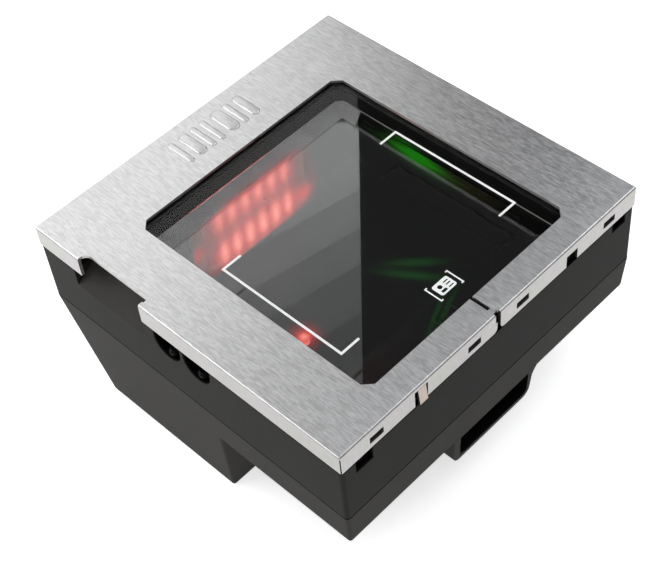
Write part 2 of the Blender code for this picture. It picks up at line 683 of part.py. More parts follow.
def build_camera():
    wall_x = WINDOW_X[0]
    back = wall_x - TUB_WALL
    housing = box((back - 13.0, -9.0, 46.0), (back - GAP, 9.0, 63.0))
    make_object("camera_housing", housing, black_plastic())
    tube = cylinder_x(4.9, back, wall_x + 6.4, (0.0, LENS_Z))
    barrel = make_object("lens_barrel", tube, black_plastic())
    cut(barrel, cylinder_x(4.0, wall_x + 3.0, wall_x + 10, (0.0, LENS_Z)))
    shade(barrel)
    lens = cylinder_x(3.7, wall_x + 3.3, wall_x + 4.8, (0.0, LENS_Z))
    make_object("lens_glass", lens, clear_glass())
    board = box((back - 14.9, -12.0, 43.0), (back - 13.3, 12.0, 66.0))
    make_object("sensor_board", board, board_green())
    ribbon_x = back - 14.1
    route = [(ribbon_x, 42.6), (ribbon_x, 36.0), (ribbon_x + 2.0, 30.0)]
    route += [(-56.5, 24.0), (-51.6, 19.5), (-50.0, 14.0)]
    left = []
    right = []
    for i, (x, z) in enumerate(route):
        before = Vector(route[max(i - 1, 0)])
        after = Vector(route[min(i + 1, len(route) - 1)])
        run = (after - before).normalized()
        left.append((x - run.y * 0.2, z + run.x * 0.2))
        right.append((x + run.y * 0.2, z - run.x * 0.2))
    make_object("flex_cable", prism_y(left + right[::-1], -5.0, 5.0), amber_film())
    plug = box((-51.6, -6.5, BOARD_Z + BOARD_THICK + 0.1), (-48.4, 6.5, 13.7))
    make_object("flex_connector", plug, black_plastic())


def build_indicators():
    side = WINDOW_Y
    outline = round_rect(side - 0.4, TUB_SIDE - GAP, *LIGHT_BAR_Z, 0.9, 3)
    make_object("indicator_light_bar", prism_x(outline, -36.0, 44.0), green_lens())
    z = TUB_FLOOR_Z
    profile = [(0.05, z + GAP), (1.9, z + GAP), (1.9, z + 1.6), (1.3, z + 2.6), (0.05, z + 2.9)]
    make_object("aimer_led", turned(profile, AIMER, 14), red_lens())


# ---- electronics in the deep foot ----
def board_posts():
    return [(x, y) for x in (-48.0, 0.0) for y in (-37.0, 57.0)]


def socket_fronts():
    """Each socket's y and z extent at the step wall."""
    z = BOARD_Z + BOARD_THICK + GAP
    return {"host_socket": (-30.0, -14.0, z, z + 13.4), "aux_socket": (-9.0, 6.0, z, z + 13.4),
            "usb_socket": (12.0, 26.6, z, z + 7.2), "power_jack": (32.0, 41.4, z, z + 11.0)}


def build_decoder_board():
    z0 = BOARD_Z
    z1 = BOARD_Z + BOARD_THICK
    board = make_object("decoder_board", box((-54.0, -41.0, z0), (4.6, 62.0, z1)), board_green())
    for p in board_posts():
        cut(board, cylinder(1.6, z0 - 1, z1 + 1, p, 12))
    meshes = [screw(x, y, z1 + 0.1, 2.5, 1.6, 0.9, 6.0) for x, y in board_posts()]
    numbered("board_screw", meshes, zinc())
    shield = box((-44.0, 12.0, z1 + GAP), (-14.0, 42.0, z1 + 4.6))
    bevel_edges(shield, lambda e: edge_middle(e).z > z1 + 4.5, 0.8, 2)
    make_object("processor_shield", shield, can_metal())
    can = cylinder(3.6, z1 + GAP, z1 + 12.0, (-10.0, 49.0), 18)
    make_object("bulk_capacitor", can, can_metal())


def modular_socket(name):
    """A modular jack: a block with a mouth and the latch's narrower step above it."""
    y0, y1, z0, z1 = socket_fronts()[name]
    socket = make_object(name, box((-8.0, y0, z0), (9.4, y1, z1)), black_plastic())
    middle = (y0 + y1) / 2
    right = [(6.0, 1.6), (6.0, 8.6), (3.4, 8.6), (3.4, 10.4), (1.8, 10.4), (1.8, 11.8)]
    mouth = [(middle + y, z0 + z) for y, z in right + [(-y, z) for y, z in reversed(right)]]
    cut(socket, prism_x(mouth, -3.5, 14.0))


def build_sockets():
    modular_socket("host_socket")
    modular_socket("aux_socket")
    y0, y1, z0, z1 = socket_fronts()["usb_socket"]
    usb = make_object("usb_socket", box((-6.0, y0, z0), (9.6, y1, z1)), can_metal())
    cut(usb, box((-4.5, y0 + 0.6, z0 + 0.6), (14.0, y1 - 0.6, z1 - 0.6)))
    y0, y1, z0, z1 = socket_fronts()["power_jack"]
    center = ((y0 + y1) / 2, z1 - 5.0)
    jack = make_object("power_jack", box((-5.0, y0, z0), (9.4, y1, z1)), black_plastic())
    cut(jack, cylinder_x(3.2, -3.0, 14.0, center, 12))
    shade(jack)


def build_speaker():
    z = WALL + GAP
    profile = [(13.0, z), (13.0, z + 5.0), (7.6, z + 5.0), (7.6, z + 3.8), (11.4, z + 3.8), (11.4, z)]
    make_object("speaker_frame", turned(profile, SPEAKER), black_plastic())
    profile = [(11.0, z + 0.6), (11.0, z + 1.0), (5.6, z + 3.2), (2.6, z + 2.4), (0.1, z + 2.2)]
    profile += [(0.1, z + 1.8), (2.6, z + 2.0), (5.4, z + 2.8)]
    make_object("speaker_cone", turned(profile, SPEAKER), cone_paper())
    magnet = cylinder(7.2, z + 4.0, z + 8.6, SPEAKER, 24)
    make_object("speaker_magnet", magnet, can_metal())


def main():
    for obj in list(bpy.data.objects):
        bpy.data.objects.remove(obj)
    build_top_plate()
    build_slit_insert()
    build_glass()
    build_glass_mounting()
    build_printed_brackets()
    build_card_symbol()
    build_tongue("snap_tongue_right", 1)
    build_tongue("snap_tongue_left", -1)
    build_upper_shell()
    build_lower_shell()
    build_seam_gasket()
    build_shell_screws()
    build_plate_pad()
    build_antenna_loop()
    build_optics_tub()
    build_inner_glass()
    build_tub_seal()
    build_tub_screws()
    build_mirror()
    build_illumination()
    build_camera()
    build_indicators()
    build_decoder_board()
    build_sockets()
    build_speaker()


main()
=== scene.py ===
import math

import bpy
import numpy as np
from mathutils import Matrix, Vector


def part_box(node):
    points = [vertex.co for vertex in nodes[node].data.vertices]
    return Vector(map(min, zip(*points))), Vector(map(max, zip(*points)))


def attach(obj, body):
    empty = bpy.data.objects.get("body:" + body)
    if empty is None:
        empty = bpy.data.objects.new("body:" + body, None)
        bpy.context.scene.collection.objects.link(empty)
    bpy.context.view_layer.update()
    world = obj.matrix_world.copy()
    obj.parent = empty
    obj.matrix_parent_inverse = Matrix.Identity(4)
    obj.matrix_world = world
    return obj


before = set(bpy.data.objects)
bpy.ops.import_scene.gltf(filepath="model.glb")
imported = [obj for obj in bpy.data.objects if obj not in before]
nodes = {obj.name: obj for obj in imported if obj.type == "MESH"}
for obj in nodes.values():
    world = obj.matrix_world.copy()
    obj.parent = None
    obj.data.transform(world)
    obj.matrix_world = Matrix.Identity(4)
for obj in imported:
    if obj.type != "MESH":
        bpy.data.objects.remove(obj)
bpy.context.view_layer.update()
print("frame loaded:", len(nodes), "CAD nodes")

mm = 0.001    # lengths below are millimetres, but the camera, the studio and bump depths are metres
perMm = (1 / mm,) * 3    # scale that turns Object coordinates into millimetres
filmThick = 0.12    # thickness of the glow films


# short ways to build node trees
def newMaterial(name):
    mat = bpy.data.materials.new(name)
    mat.use_nodes = True
    tree = mat.node_tree
    return mat, tree, tree.nodes["Principled BSDF"]


def addNode(tree, kind, **values):
    node = tree.nodes.new("ShaderNode" + kind)
    for key, value in values.items():
        if key in node.inputs:
            node.inputs[key].default_value = value
        else:
            setattr(node, key, value)
    return node


def plug(tree, value, socket):
    if isinstance(value, (int, float)):
        socket.default_value = value
    else:
        tree.links.new(value, socket)


def calc(tree, operation, a, b=None, c=None, clamp=False):
    node = tree.nodes.new("ShaderNodeMath")
    node.operation = operation
    node.use_clamp = clamp
    for i, value in enumerate((a, b, c)):
        if value is not None:
            plug(tree, value, node.inputs[i])
    return node.outputs[0]


def objectCoords(tree, scale=(1, 1, 1), place=(0, 0, 0)):
    coord = addNode(tree, "TexCoord")
    mapping = addNode(tree, "Mapping", Scale=scale, Location=place)
    tree.links.new(coord.outputs["Object"], mapping.inputs["Vector"])
    return mapping.outputs["Vector"]


def axisOf(tree, vector):
    split = addNode(tree, "SeparateXYZ")
    tree.links.new(vector, split.inputs[0])
    return split.outputs


def noise(tree, vector, detail=3.0, rough=0.55):
    node = addNode(tree, "TexNoise", Scale=1.0, Detail=detail, Roughness=rough)
    tree.links.new(vector, node.inputs["Vector"])
    return node.outputs["Fac"]


def spread(tree, value, low, high, fromLow=0.3, fromHigh=0.7):
    node = addNode(tree, "MapRange")
    tree.links.new(value, node.inputs["Value"])
    node.inputs["From Min"].default_value = fromLow
    node.inputs["From Max"].default_value = fromHigh
    node.inputs["To Min"].default_value = low
    node.inputs["To Max"].default_value = high
    return node.outputs["Result"]


def mixColors(tree, fac, low, high):
    node = tree.nodes.new("ShaderNodeMix")
    node.data_type = "RGBA"
    plug(tree, fac, node.inputs[0])
    for value, socket in ((low, node.inputs[6]), (high, node.inputs[7])):
        if isinstance(value, tuple):
            socket.default_value = (*value, 1.0)
        else:
            tree.links.new(value, socket)
    return node.outputs[2]


def bell(tree, value, middle, width, power=2.0):
    # e to the minus (distance from the middle over the width) to an even power
    off = calc(tree, "ABSOLUTE", calc(tree, "DIVIDE", calc(tree, "SUBTRACT", value, middle), width))
    return calc(tree, "EXPONENT", calc(tree, "MULTIPLY", calc(tree, "POWER", off, power), -1.0))


def product(tree, *values):
    result = values[0]
    for value in values[1:]:
        result = calc(tree, "MULTIPLY", result, value)
    return result


def total(tree, *values):
    result = values[0]
    for value in values[1:]:
        result = calc(tree, "ADD", result, value)
    return result


def bump(tree, height, shader, strength, depth):
    node = addNode(tree, "Bump", Strength=strength, Distance=depth)
    tree.links.new(height, node.inputs["Height"])
    tree.links.new(node.outputs["Normal"], shader.inputs["Normal"])


def tinted(tone, factor):
    return tuple(min(t * factor, 1.0) for t in tone)


def glowing(shader, base):
    # self-lit and without gloss
    shader.inputs["Base Color"].default_value = (*base, 1.0)
    shader.inputs["Emission Strength"].default_value = 1.0
    shader.inputs["Specular IOR Level"].default_value = 0.0


def dress(mat, *names):
    for name in names:
        obj = nodes[name]
        obj.data.materials.clear()
        obj.data.materials.append(mat)


# camera
cameraSetup = {"place": (0.27427, -0.24272, 0.46889), "turn": (40.77, 4.38, 43.933), "lens": 80.29}


def makeCamera(c):
    data = bpy.data.cameras.new("view")
    data.lens = c["lens"]
    data.sensor_width = 36.0
    data.clip_start = 0.01
    camera = bpy.data.objects.new("view", data)
    camera.location = c["place"]
    camera.rotation_euler = [math.radians(a) for a in c["turn"]]
    bpy.context.scene.collection.objects.link(camera)
    bpy.context.scene.camera = camera


makeCamera(cameraSetup)
print("camera placed")

# studio: metres, and brightness as seen in a mirror
studio = {
    "floorHalf": 3.0, "floorTone": 0.9, "floorGlow": 0.66, "air": 0.10,
    "wall": {    # the tall soft light on the left, in level bands that are dimmer higher up
        "place": (-0.8014, 0.045), "aim": (0.0026, -0.068), "foot": 0.695, "lean": -0.0656, "width": 1.328,
        "bands": ((0.25, 0.78, 1.16), (0.78, 1.02, 1.72), (1.02, 1.09, 1.25), (1.09, 1.16, 0.9),
                  (1.16, 1.26, 0.62), (1.26, 1.75, 0.42)),
    },
    "cards": {    # place, aim, width, height, brightness, colour
        "noseCard": ((-0.48, -0.57, 0.62), (0.0, 0.0, 0.08), 0.6, 0.56, 2.8, (1, 1, 1)),
        "backCard": ((0.25, 0.44, 0.89), (0.0, 0.0, 0.08), 0.6, 0.5, 1.9, (0.95, 0.97, 1)),
        "sideCard": ((-0.02, 0.68, 0.62), (0.0, 0.0, 0.08), 0.34, 0.6, 1.7, (0.94, 0.97, 1)),
        "overCard": ((-0.14, 0.24, 1.05), (0.0, 0.0, 0.08), 0.5, 0.34, 0.85, (0.97, 0.98, 1)),
        "warmCard": ((0.85, 0.45, 0.26), (0.0, 0.0, 0.08), 0.6, 0.22, 0.45, (1, 0.8, 0.6)),
        "keyCard": ((0.42, -0.38, 1.05), (0.0, 0.0, 0.05), 0.6, 0.6, 2.4, (1, 1, 1)),
    },
}


def makeCard(name, place, aim, width, height, bright, color, roll=0.0):
    light = bpy.data.lights.new(name, "AREA")
    light.shape = "RECTANGLE"
    light.size = width
    light.size_y = height
    light.energy = math.pi * width * height * bright    # watts that give a flat card this brightness
    light.color = color
    card = bpy.data.objects.new(name, light)
    card.location = place
    aimed = (Vector(aim) - Vector(place)).to_track_quat("-Z", "Y").to_matrix()
    card.rotation_euler = (aimed @ Matrix.Rotation(roll, 3, "Z")).to_euler()
    bpy.context.scene.collection.objects.link(card)


def makeStudio(s):
    half = s["floorHalf"]
    mesh = bpy.data.meshes.new("floor")
    corners = [(-half, -half, 0), (half, -half, 0), (half, half, 0), (-half, half, 0)]
    mesh.from_pydata(corners, [], [(0, 1, 2, 3)])
    floor = bpy.data.objects.new("floor", mesh)
    bpy.context.scene.collection.objects.link(floor)
    mat, tree, shader = newMaterial("paleFloor")
    shader.inputs["Base Color"].default_value = (s["floorTone"],) * 3 + (1.0,)
    shader.inputs["Roughness"].default_value = 0.95
    shader.inputs["Specular IOR Level"].default_value = 0.0
    shader.inputs["Emission Color"].default_value = (1.0, 1.0, 1.0, 1.0)
    shader.inputs["Emission Strength"].default_value = s["floorGlow"]
    mesh.materials.append(mat)
    world = bpy.data.worlds.new("air")
    bpy.context.scene.world = world
    world.use_nodes = True
    back = world.node_tree.nodes["Background"]
    back.inputs["Color"].default_value = (1.0, 1.0, 1.0, 1.0)
    back.inputs["Strength"].default_value = s["air"]
    wall = s["wall"]
    side = Vector((wall["aim"][1] - wall["place"][1], wall["place"][0] - wall["aim"][0], 0.0)).normalized()
    for number, (low, high, bright) in enumerate(wall["bands"]):
        middle = (low + high) / 2
        shift = side * -wall["lean"] * (middle - wall["foot"])    # each band sits a little further over
        place = Vector((*wall["place"], middle)) + shift
        aim = Vector((*wall["aim"], middle)) + shift
        makeCard(f"wallCard{number}", place, aim, wall["width"], high - low, bright, (1, 1, 1),
                 wall["lean"])
    for name, card in s["cards"].items():
        makeCard(name, *card)
    bpy.context.scene.view_settings.view_transform = "Standard"


makeStudio(studio)
print("studio lit")

# platter steel
# edgeTones are the two tones of the painted shade on the folded edges
steel = {"dark": (0.495, 0.495, 0.50), "light": (0.715, 0.715, 0.72), "roughness": (0.30, 0.42),
         "length": 300.0, "width": 2500.0, "clouds": (150.0, 330.0, 150.0), "patches": 60.0,
         "fineShare": 0.8, "grooves": 0.000016, "stretch": 0.45, "sideways": 0.7,
         "edgeTones": ((0.755, 0.725, 0.725), (0.73, 0.73, 0.69))}


def brushedSteel(s, name="brushedSteel", tint=(1.0, 1.0, 1.0)):
    # fine streaks along X on the top, running on down the edges, over a faint cloudiness
    mat, tree, shader = newMaterial(name)
    normal = addNode(tree, "NewGeometry").outputs["Normal"]
    facing = axisOf(tree, normal)
    facingX = calc(tree, "GREATER_THAN", calc(tree, "ABSOLUTE", facing[0]), s["sideways"])
    alongX = objectCoords(tree, (s["length"], s["width"], s["width"]))
    downwards = objectCoords(tree, (s["width"], s["width"], s["length"]))    # on the two edges that face X
    pick = tree.nodes.new("ShaderNodeMix")
    pick.data_type = "VECTOR"
    tree.links.new(facingX, pick.inputs[0])
    tree.links.new(alongX, pick.inputs[4])
    tree.links.new(downwards, pick.inputs[5])
    vector = pick.outputs[1]
    fine = noise(tree, vector, detail=4.0, rough=0.65)
    clouds = noise(tree, objectCoords(tree, s["clouds"]), detail=4.0, rough=0.7)
    onTop = spread(tree, facing[2], 0.35, 1.0, 0.2, 0.9)    # the folded edges are smoother
    streaks = total(tree, product(tree, fine, s["fineShare"]), product(tree, clouds, 1 - s["fineShare"]))
    even = total(tree, 0.5, product(tree, calc(tree, "SUBTRACT", streaks, 0.5), onTop))
    shader.inputs["Metallic"].default_value = 1.0
    dark = tuple(a * b for a, b in zip(s["dark"], tint))
    light = tuple(a * b for a, b in zip(s["light"], tint))
    base = mixColors(tree, spread(tree, even, 0, 1, 0.40, 0.60), dark, light)
    # painted shade: the multiply below darkens and warms the folded edges by the way they face, the more
    # upright the more
    folded = tree.nodes.new("ShaderNodeMix")    # the folded edges are darker and a little warmer
    folded.data_type = "RGBA"
    folded.blend_type = "MULTIPLY"
    tree.links.new(calc(tree, "SUBTRACT", 1.0, spread(tree, facing[2], 0.0, 1.0, 0.2, 0.9)), folded.inputs[0])
    tree.links.new(base, folded.inputs[6])
    patches = noise(tree, objectCoords(tree, (s["patches"],) * 3), detail=2.0)
    edges = mixColors(tree, spread(tree, patches, 0, 1, 0.4, 0.6), *s["edgeTones"])
    tree.links.new(edges, folded.inputs[7])
    tree.links.new(folded.outputs[2], shader.inputs["Base Color"])
    tree.links.new(spread(tree, even, *s["roughness"]), shader.inputs["Roughness"])
    shader.inputs["Anisotropic"].default_value = s["stretch"]
    groove = addNode(tree, "VectorMath", operation="CROSS_PRODUCT")    # the gloss spreads across the grooves
    pickAxis = tree.nodes.new("ShaderNodeMix")
    pickAxis.data_type = "VECTOR"
    tree.links.new(facingX, pickAxis.inputs[0])
    pickAxis.inputs[4].default_value = (1.0, 0.0, 0.0)
    pickAxis.inputs[5].default_value = (0.0, 0.0, 1.0)
    tree.links.new(pickAxis.outputs[1], groove.inputs[0])
    tree.links.new(normal, groove.inputs[1])
    tree.links.new(groove.outputs[0], shader.inputs["Tangent"])
    bump(tree, even, shader, 1.0, s["grooves"])
    return mat


# plastics, metals and the rest
def mouldedPlastic(name, tone, roughness, gloss, shade=None):
    # fine moulded grain over a slow change of tone; shade, where given, is a factor on the colour that paints
    # light and shade by place
    mat, tree, shader = newMaterial(name)
    fine = noise(tree, objectCoords(tree, (3800, 3800, 3800)), detail=2.0)
    broad = noise(tree, objectCoords(tree, (40, 40, 40)), detail=3.0)
    color = mixColors(tree, spread(tree, broad, 0, 1), tinted(tone, 0.93), tinted(tone, 1.07))
    if shade:
        scaled = addNode(tree, "VectorMath", operation="SCALE")
        tree.links.new(color, scaled.inputs[0])
        tree.links.new(shade(tree), scaled.inputs["Scale"])
        color = scaled.outputs[0]
    tree.links.new(color, shader.inputs["Base Color"])
    tree.links.new(spread(tree, fine, roughness - 0.06, roughness + 0.06), shader.inputs["Roughness"])
    shader.inputs["Specular IOR Level"].default_value = gloss
    bump(tree, fine, shader, 0.5, 0.00002)
    return mat


# scoop is the factor of painted light in the finger scoop, deep the factor of painted shade
caseShade = {"inset": 0.6, "deck": 77.0, "scoopX": (-57.3, -19.7), "scoopDepth": 16.0, "scoop": 3.4,
             "deep": 0.12}


def shadeCase(tree, c=caseShade):
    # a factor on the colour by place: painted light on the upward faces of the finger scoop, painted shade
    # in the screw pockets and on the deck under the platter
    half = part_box("upper_shell")[1][0] / mm
    x, y, z = axisOf(tree, objectCoords(tree, perMm))
    normal = axisOf(tree, addNode(tree, "NewGeometry").outputs["Normal"])
    reach = calc(tree, "MAXIMUM", calc(tree, "ABSOLUTE", x), calc(tree, "ABSOLUTE", y))
    inside = calc(tree, "LESS_THAN", reach, half - c["inset"])
    deck = calc(tree, "GREATER_THAN", z, c["deck"])
    x0, x1 = c["scoopX"]
    fromMiddle = calc(tree, "ABSOLUTE", calc(tree, "SUBTRACT", x, (x0 + x1) / 2))
    across = calc(tree, "LESS_THAN", fromMiddle, (x1 - x0) / 2)
    scoop = product(tree, across, calc(tree, "LESS_THAN", y, c["scoopDepth"] - half))
    # painted light: the upward faces of the finger scoop are made lighter by the scoop factor
    scoopPaintedLight = product(tree, scoop, spread(tree, normal[2], 0.0, 1.0, 0.1, 0.6))
    # painted shade: the deck under the platter and the faces set in from the outside, such as the screw
    # pockets, are darkened by the deep factor
    paintedShadeZone = calc(tree, "MAXIMUM", deck, product(tree, inside, calc(tree, "SUBTRACT", 1.0, scoop)))
    dark = total(tree, 1.0, product(tree, paintedShadeZone, c["deep"] - 1.0))
    return total(tree, dark, product(tree, scoopPaintedLight, c["scoop"] - 1.0))


sleeveShade = {"y": (-18.4, 19.4), "z": (22.1, 34.2), "from": 40.0, "deep": 0.1}


def shadeSleeve(tree, c=sleeveShade):
    # a factor on the colour by place: painted shade, dark inside the mouth of the cable sleeve
    x, y, z = axisOf(tree, objectCoords(tree, perMm))
    masks = [calc(tree, "GREATER_THAN", x, c["from"])]
    for value, (low, high) in ((y, c["y"]), (z, c["z"])):
        away = calc(tree, "ABSOLUTE", calc(tree, "SUBTRACT", value, (low + high) / 2))
        masks.append(calc(tree, "LESS_THAN", away, (high - low) / 2))
    return total(tree, 1.0, product(tree, *masks, c["deep"] - 1.0))


def plainFinish(name, tone, roughness, metallic=0.0, grain=800.0):
    mat, tree, shader = newMaterial(name)
    speckle = noise(tree, objectCoords(tree, (grain, grain, grain)), detail=3.0)
    tree.links.new(mixColors(tree, spread(tree, speckle, 0, 1), tinted(tone, 0.9), tinted(tone, 1.1)),
                   shader.inputs["Base Color"])
    rough = spread(tree, speckle, max(roughness - 0.04, 0.02), roughness + 0.04)
    tree.links.new(rough, shader.inputs["Roughness"])
    shader.inputs["Metallic"].default_value = metallic
    return mat


def clearPane(name, bend, tint):
    mat, tree, shader = newMaterial(name)
    smear = noise(tree, objectCoords(tree, (35, 90, 35)), detail=2.0)
    color = mixColors(tree, spread(tree, smear, 0, 1), tinted(tint, 0.98), tint)
    tree.links.new(color, shader.inputs["Base Color"])
    tree.links.new(spread(tree, smear, 0.0, 0.03, 0.45, 0.8), shader.inputs["Roughness"])
    shader.inputs["Transmission Weight"].default_value = 1.0
    shader.inputs["IOR"].default_value = bend
    return mat


ink = {"tones": ((0.8, 0.8, 0.79), (0.92, 0.92, 0.91)), "glow": (1.0, 1.0, 0.98), "strength": 0.35}


def whiteInk(k):
    # the top and the edges are slightly lit by themselves, the underside is not
    mat, tree, shader = newMaterial("whiteInk")
    speckle = noise(tree, objectCoords(tree, (2500, 2500, 2500)), detail=2.0)
    color = mixColors(tree, spread(tree, speckle, 0, 1), *k["tones"])
    tree.links.new(color, shader.inputs["Base Color"])
    shader.inputs["Roughness"].default_value = 0.6
    normal = axisOf(tree, addNode(tree, "NewGeometry").outputs["Normal"])
    notUnder = calc(tree, "GREATER_THAN", normal[2], -0.5)
    shader.inputs["Emission Color"].default_value = (*k["glow"], 1.0)
    tree.links.new(product(tree, notUnder, k["strength"]), shader.inputs["Emission Strength"])
    return mat


def litLens(name, tone, strength):
    mat, tree, shader = newMaterial(name)
    speckle = noise(tree, objectCoords(tree, (900, 900, 900)), detail=2.0)
    color = mixColors(tree, spread(tree, speckle, 0, 1), tinted(tone, 0.7), tone)
    tree.links.new(color, shader.inputs["Base Color"])
    tree.links.new(color, shader.inputs["Emission Color"])
    shader.inputs["Emission Strength"].default_value = strength
    shader.inputs["Roughness"].default_value = 0.35
    return mat


finishes = {
    "case": mouldedPlastic("upperCasePlastic", (0.0195, 0.0187, 0.0176), 0.5, 0.04, shadeCase),
    "lower": mouldedPlastic("lowerCasePlastic", (0.0380, 0.0368, 0.0346), 0.55, 0.04, shadeSleeve),
    "black": mouldedPlastic("blackPlastic", (0.0030, 0.0030, 0.0030), 0.5, 0.06),
    "matte": mouldedPlastic("mattBlack", (0.0012, 0.0012, 0.0012), 0.8, 0.0),
    "rubber": plainFinish("blackRubber", (0.01, 0.01, 0.01), 0.8),
    "ink": whiteInk(ink),
}
dress(brushedSteel(steel), "top_plate")
dress(brushedSteel(steel, "tongueSteel", (1.0, 0.88, 0.78)), "snap_tongue_right", "snap_tongue_left")
dress(finishes["case"], "upper_shell")
dress(finishes["lower"], "lower_shell")
dress(finishes["black"], "optics_tub", "slit_insert", "glass_carrier",
      "flex_connector", "host_socket", "aux_socket", "power_jack", "speaker_frame")
dress(finishes["matte"], "camera_housing", "lens_barrel")
dress(finishes["rubber"], "glass_gasket", "tub_seal", "seam_gasket", "plate_pad")
dress(clearPane("coatedGlass", 1.18, (0.97, 0.98, 0.98)), "window_glass")
dress(clearPane("chamberGlass", 1.54, (0.97, 0.98, 0.98)), "inner_glass")
dress(plainFinish("lensGlass", (0.006, 0.004, 0.008), 0.05), "lens_glass")
dress(finishes["ink"], "scan_bracket_front", "scan_bracket_back", "card_symbol")
dress(plainFinish("copperFoil", (0.72, 0.4, 0.25), 0.4, 1.0), "antenna_loop")
dress(plainFinish("mirrorSilver", (0.7, 0.7, 0.7), 0.04, 1.0), "main_mirror")
dress(plainFinish("circuitBoard", (0.01, 0.05, 0.025), 0.45), "illumination_board", "sensor_board",
      "decoder_board")
dress(plainFinish("tinnedSheet", (0.6, 0.6, 0.58), 0.35, 1.0), "processor_shield", "bulk_capacitor",
      "usb_socket", "speaker_magnet")
dress(plainFinish("zincSteel", (0.6, 0.6, 0.62), 0.3, 1.0),
      *[n for n in nodes if "board_screw" in n or "tub_screw" in n])
dress(plainFinish("blackenedSteel", (0.012, 0.012, 0.013), 0.45, 1.0),
      *[n for n in nodes if "shell_screw" in n])
dress(plainFinish("conePaper", (0.05, 0.05, 0.05), 0.9), "speaker_cone")
dress(plainFinish("amberFilm", (0.45, 0.2, 0.05), 0.4), "flex_cable")
dress(litLens("redLens", (0.10, 0.008, 0.007), 0.25), "led_strip_lower", "led_strip_upper",
      "led_diffuser_lower", "led_diffuser_upper")
dress(litLens("aimerLens", (1.0, 0.22, 0.18), 1.0), "aimer_led")
print("finishes set")


# new pieces: closed meshes worked out with numpy, in millimetres
def makePiece(name, points, faces, mat, body, slot, smooth=False):
    mesh = bpy.data.meshes.new(name)
    mesh.from_pydata((np.asarray(points, float) * mm).tolist(), [], [list(map(int, f)) for f in faces])
    mesh.materials.append(mat)
    if smooth:
        mesh.shade_smooth()
        mesh.set_sharp_from_angle(angle=math.radians(40))
    obj = bpy.data.objects.new(name, mesh)
    bpy.context.scene.collection.objects.link(obj)
    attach(obj, body)


def middleOf(node):
    low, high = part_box(node)
    return (np.array(low) + np.array(high)) / 2 / mm


def closedSheet(front, back):
    # two matching grids of points, the front one seen from outside with u to the right and v up,
    # with a strip of faces round the rim between them
    rows, cols = front.shape[:2]
    points = np.concatenate([front.reshape(-1, 3), back.reshape(-1, 3)])
    index = np.arange(rows * cols).reshape(rows, cols)
    quads = np.stack([index[:-1, :-1], index[:-1, 1:], index[1:, 1:], index[1:, :-1]], -1).reshape(-1, 4)
    shift = rows * cols
    rim = np.concatenate([index[0, :], index[1:, -1], index[-1, -2::-1], index[-2:0:-1, 0]])
    after = np.roll(rim, -1)
    band = np.stack([after, rim, rim + shift, after + shift], -1)
    return points, np.concatenate([quads, quads[:, ::-1] + shift, band])


def tube(path, radius, sides=8):
    # a circle of the given radius (one value, or one for each path point) carried along the path
    path = np.asarray(path, float)
    radius = np.broadcast_to(np.asarray(radius, float), len(path))
    run = np.gradient(path, axis=0)
    run /= np.linalg.norm(run, axis=1, keepdims=True)
    side = np.cross(run, np.where(np.abs(run[:, 2:3]) > 0.9, (1.0, 0.0, 0.0), (0.0, 0.0, 1.0)))
    side /= np.linalg.norm(side, axis=1, keepdims=True)
    up = np.cross(side, run)
    turn = np.linspace(0, 2 * np.pi, sides, endpoint=False)
    ring = np.cos(turn)[None, :, None] * side[:, None] + np.sin(turn)[None, :, None] * up[:, None]
    points = (path[:, None] + radius[:, None, None] * ring).reshape(-1, 3)
    a = (np.arange(len(path) - 1)[:, None] * sides + np.arange(sides)[None]).ravel()
    b = (np.arange(len(path) - 1)[:, None] * sides + (np.arange(sides)[None] + 1) % sides).ravel()
    walls = np.stack([a, b, b + sides, a + sides], -1).tolist()
    last = (len(path) - 1) * sides
    caps = [list(range(sides))[::-1], list(range(last, last + sides))]
    return points, walls + caps


def slab(outline, low, high):
    # a flat outline, counter-clockwise from above, lifted between two heights
    outline = np.asarray(outline, float)
    n = len(outline)
    points = np.concatenate([np.c_[outline, np.full(n, low)], np.c_[outline, np.full(n, high)]])
    i = np.arange(n)
    j = (i + 1) % n
    walls = np.stack([i, j, j + n, i + n], -1).tolist()
    return points, walls + [list(range(n))[::-1], list(range(n, 2 * n))]


def merged(parts):
    points, faces, count = [], [], 0
    for p, f in parts:
        points.append(p)
        faces += [[int(v) + count for v in face] for face in f]
        count += len(p)
    return np.concatenate(points), faces


# the rolled rims of the bars pressed into the wide border
pressedBars = {"start": (-69.5, -17.0), "length": 13.0, "corner": 7, "round": 0.05, "finish": "brushedSteel",
               "rows": ((1.6, 5.0), (3.4, 6.2), (1.6, 4.6), (1.6, 5.4), (4.4, 6.8), (1.6, 4.8), (3.0, 0.0)),
               "levels": ((0.50, -0.37), (0.42, -0.24), (0.14, -0.03), (-0.12, 0.005))}


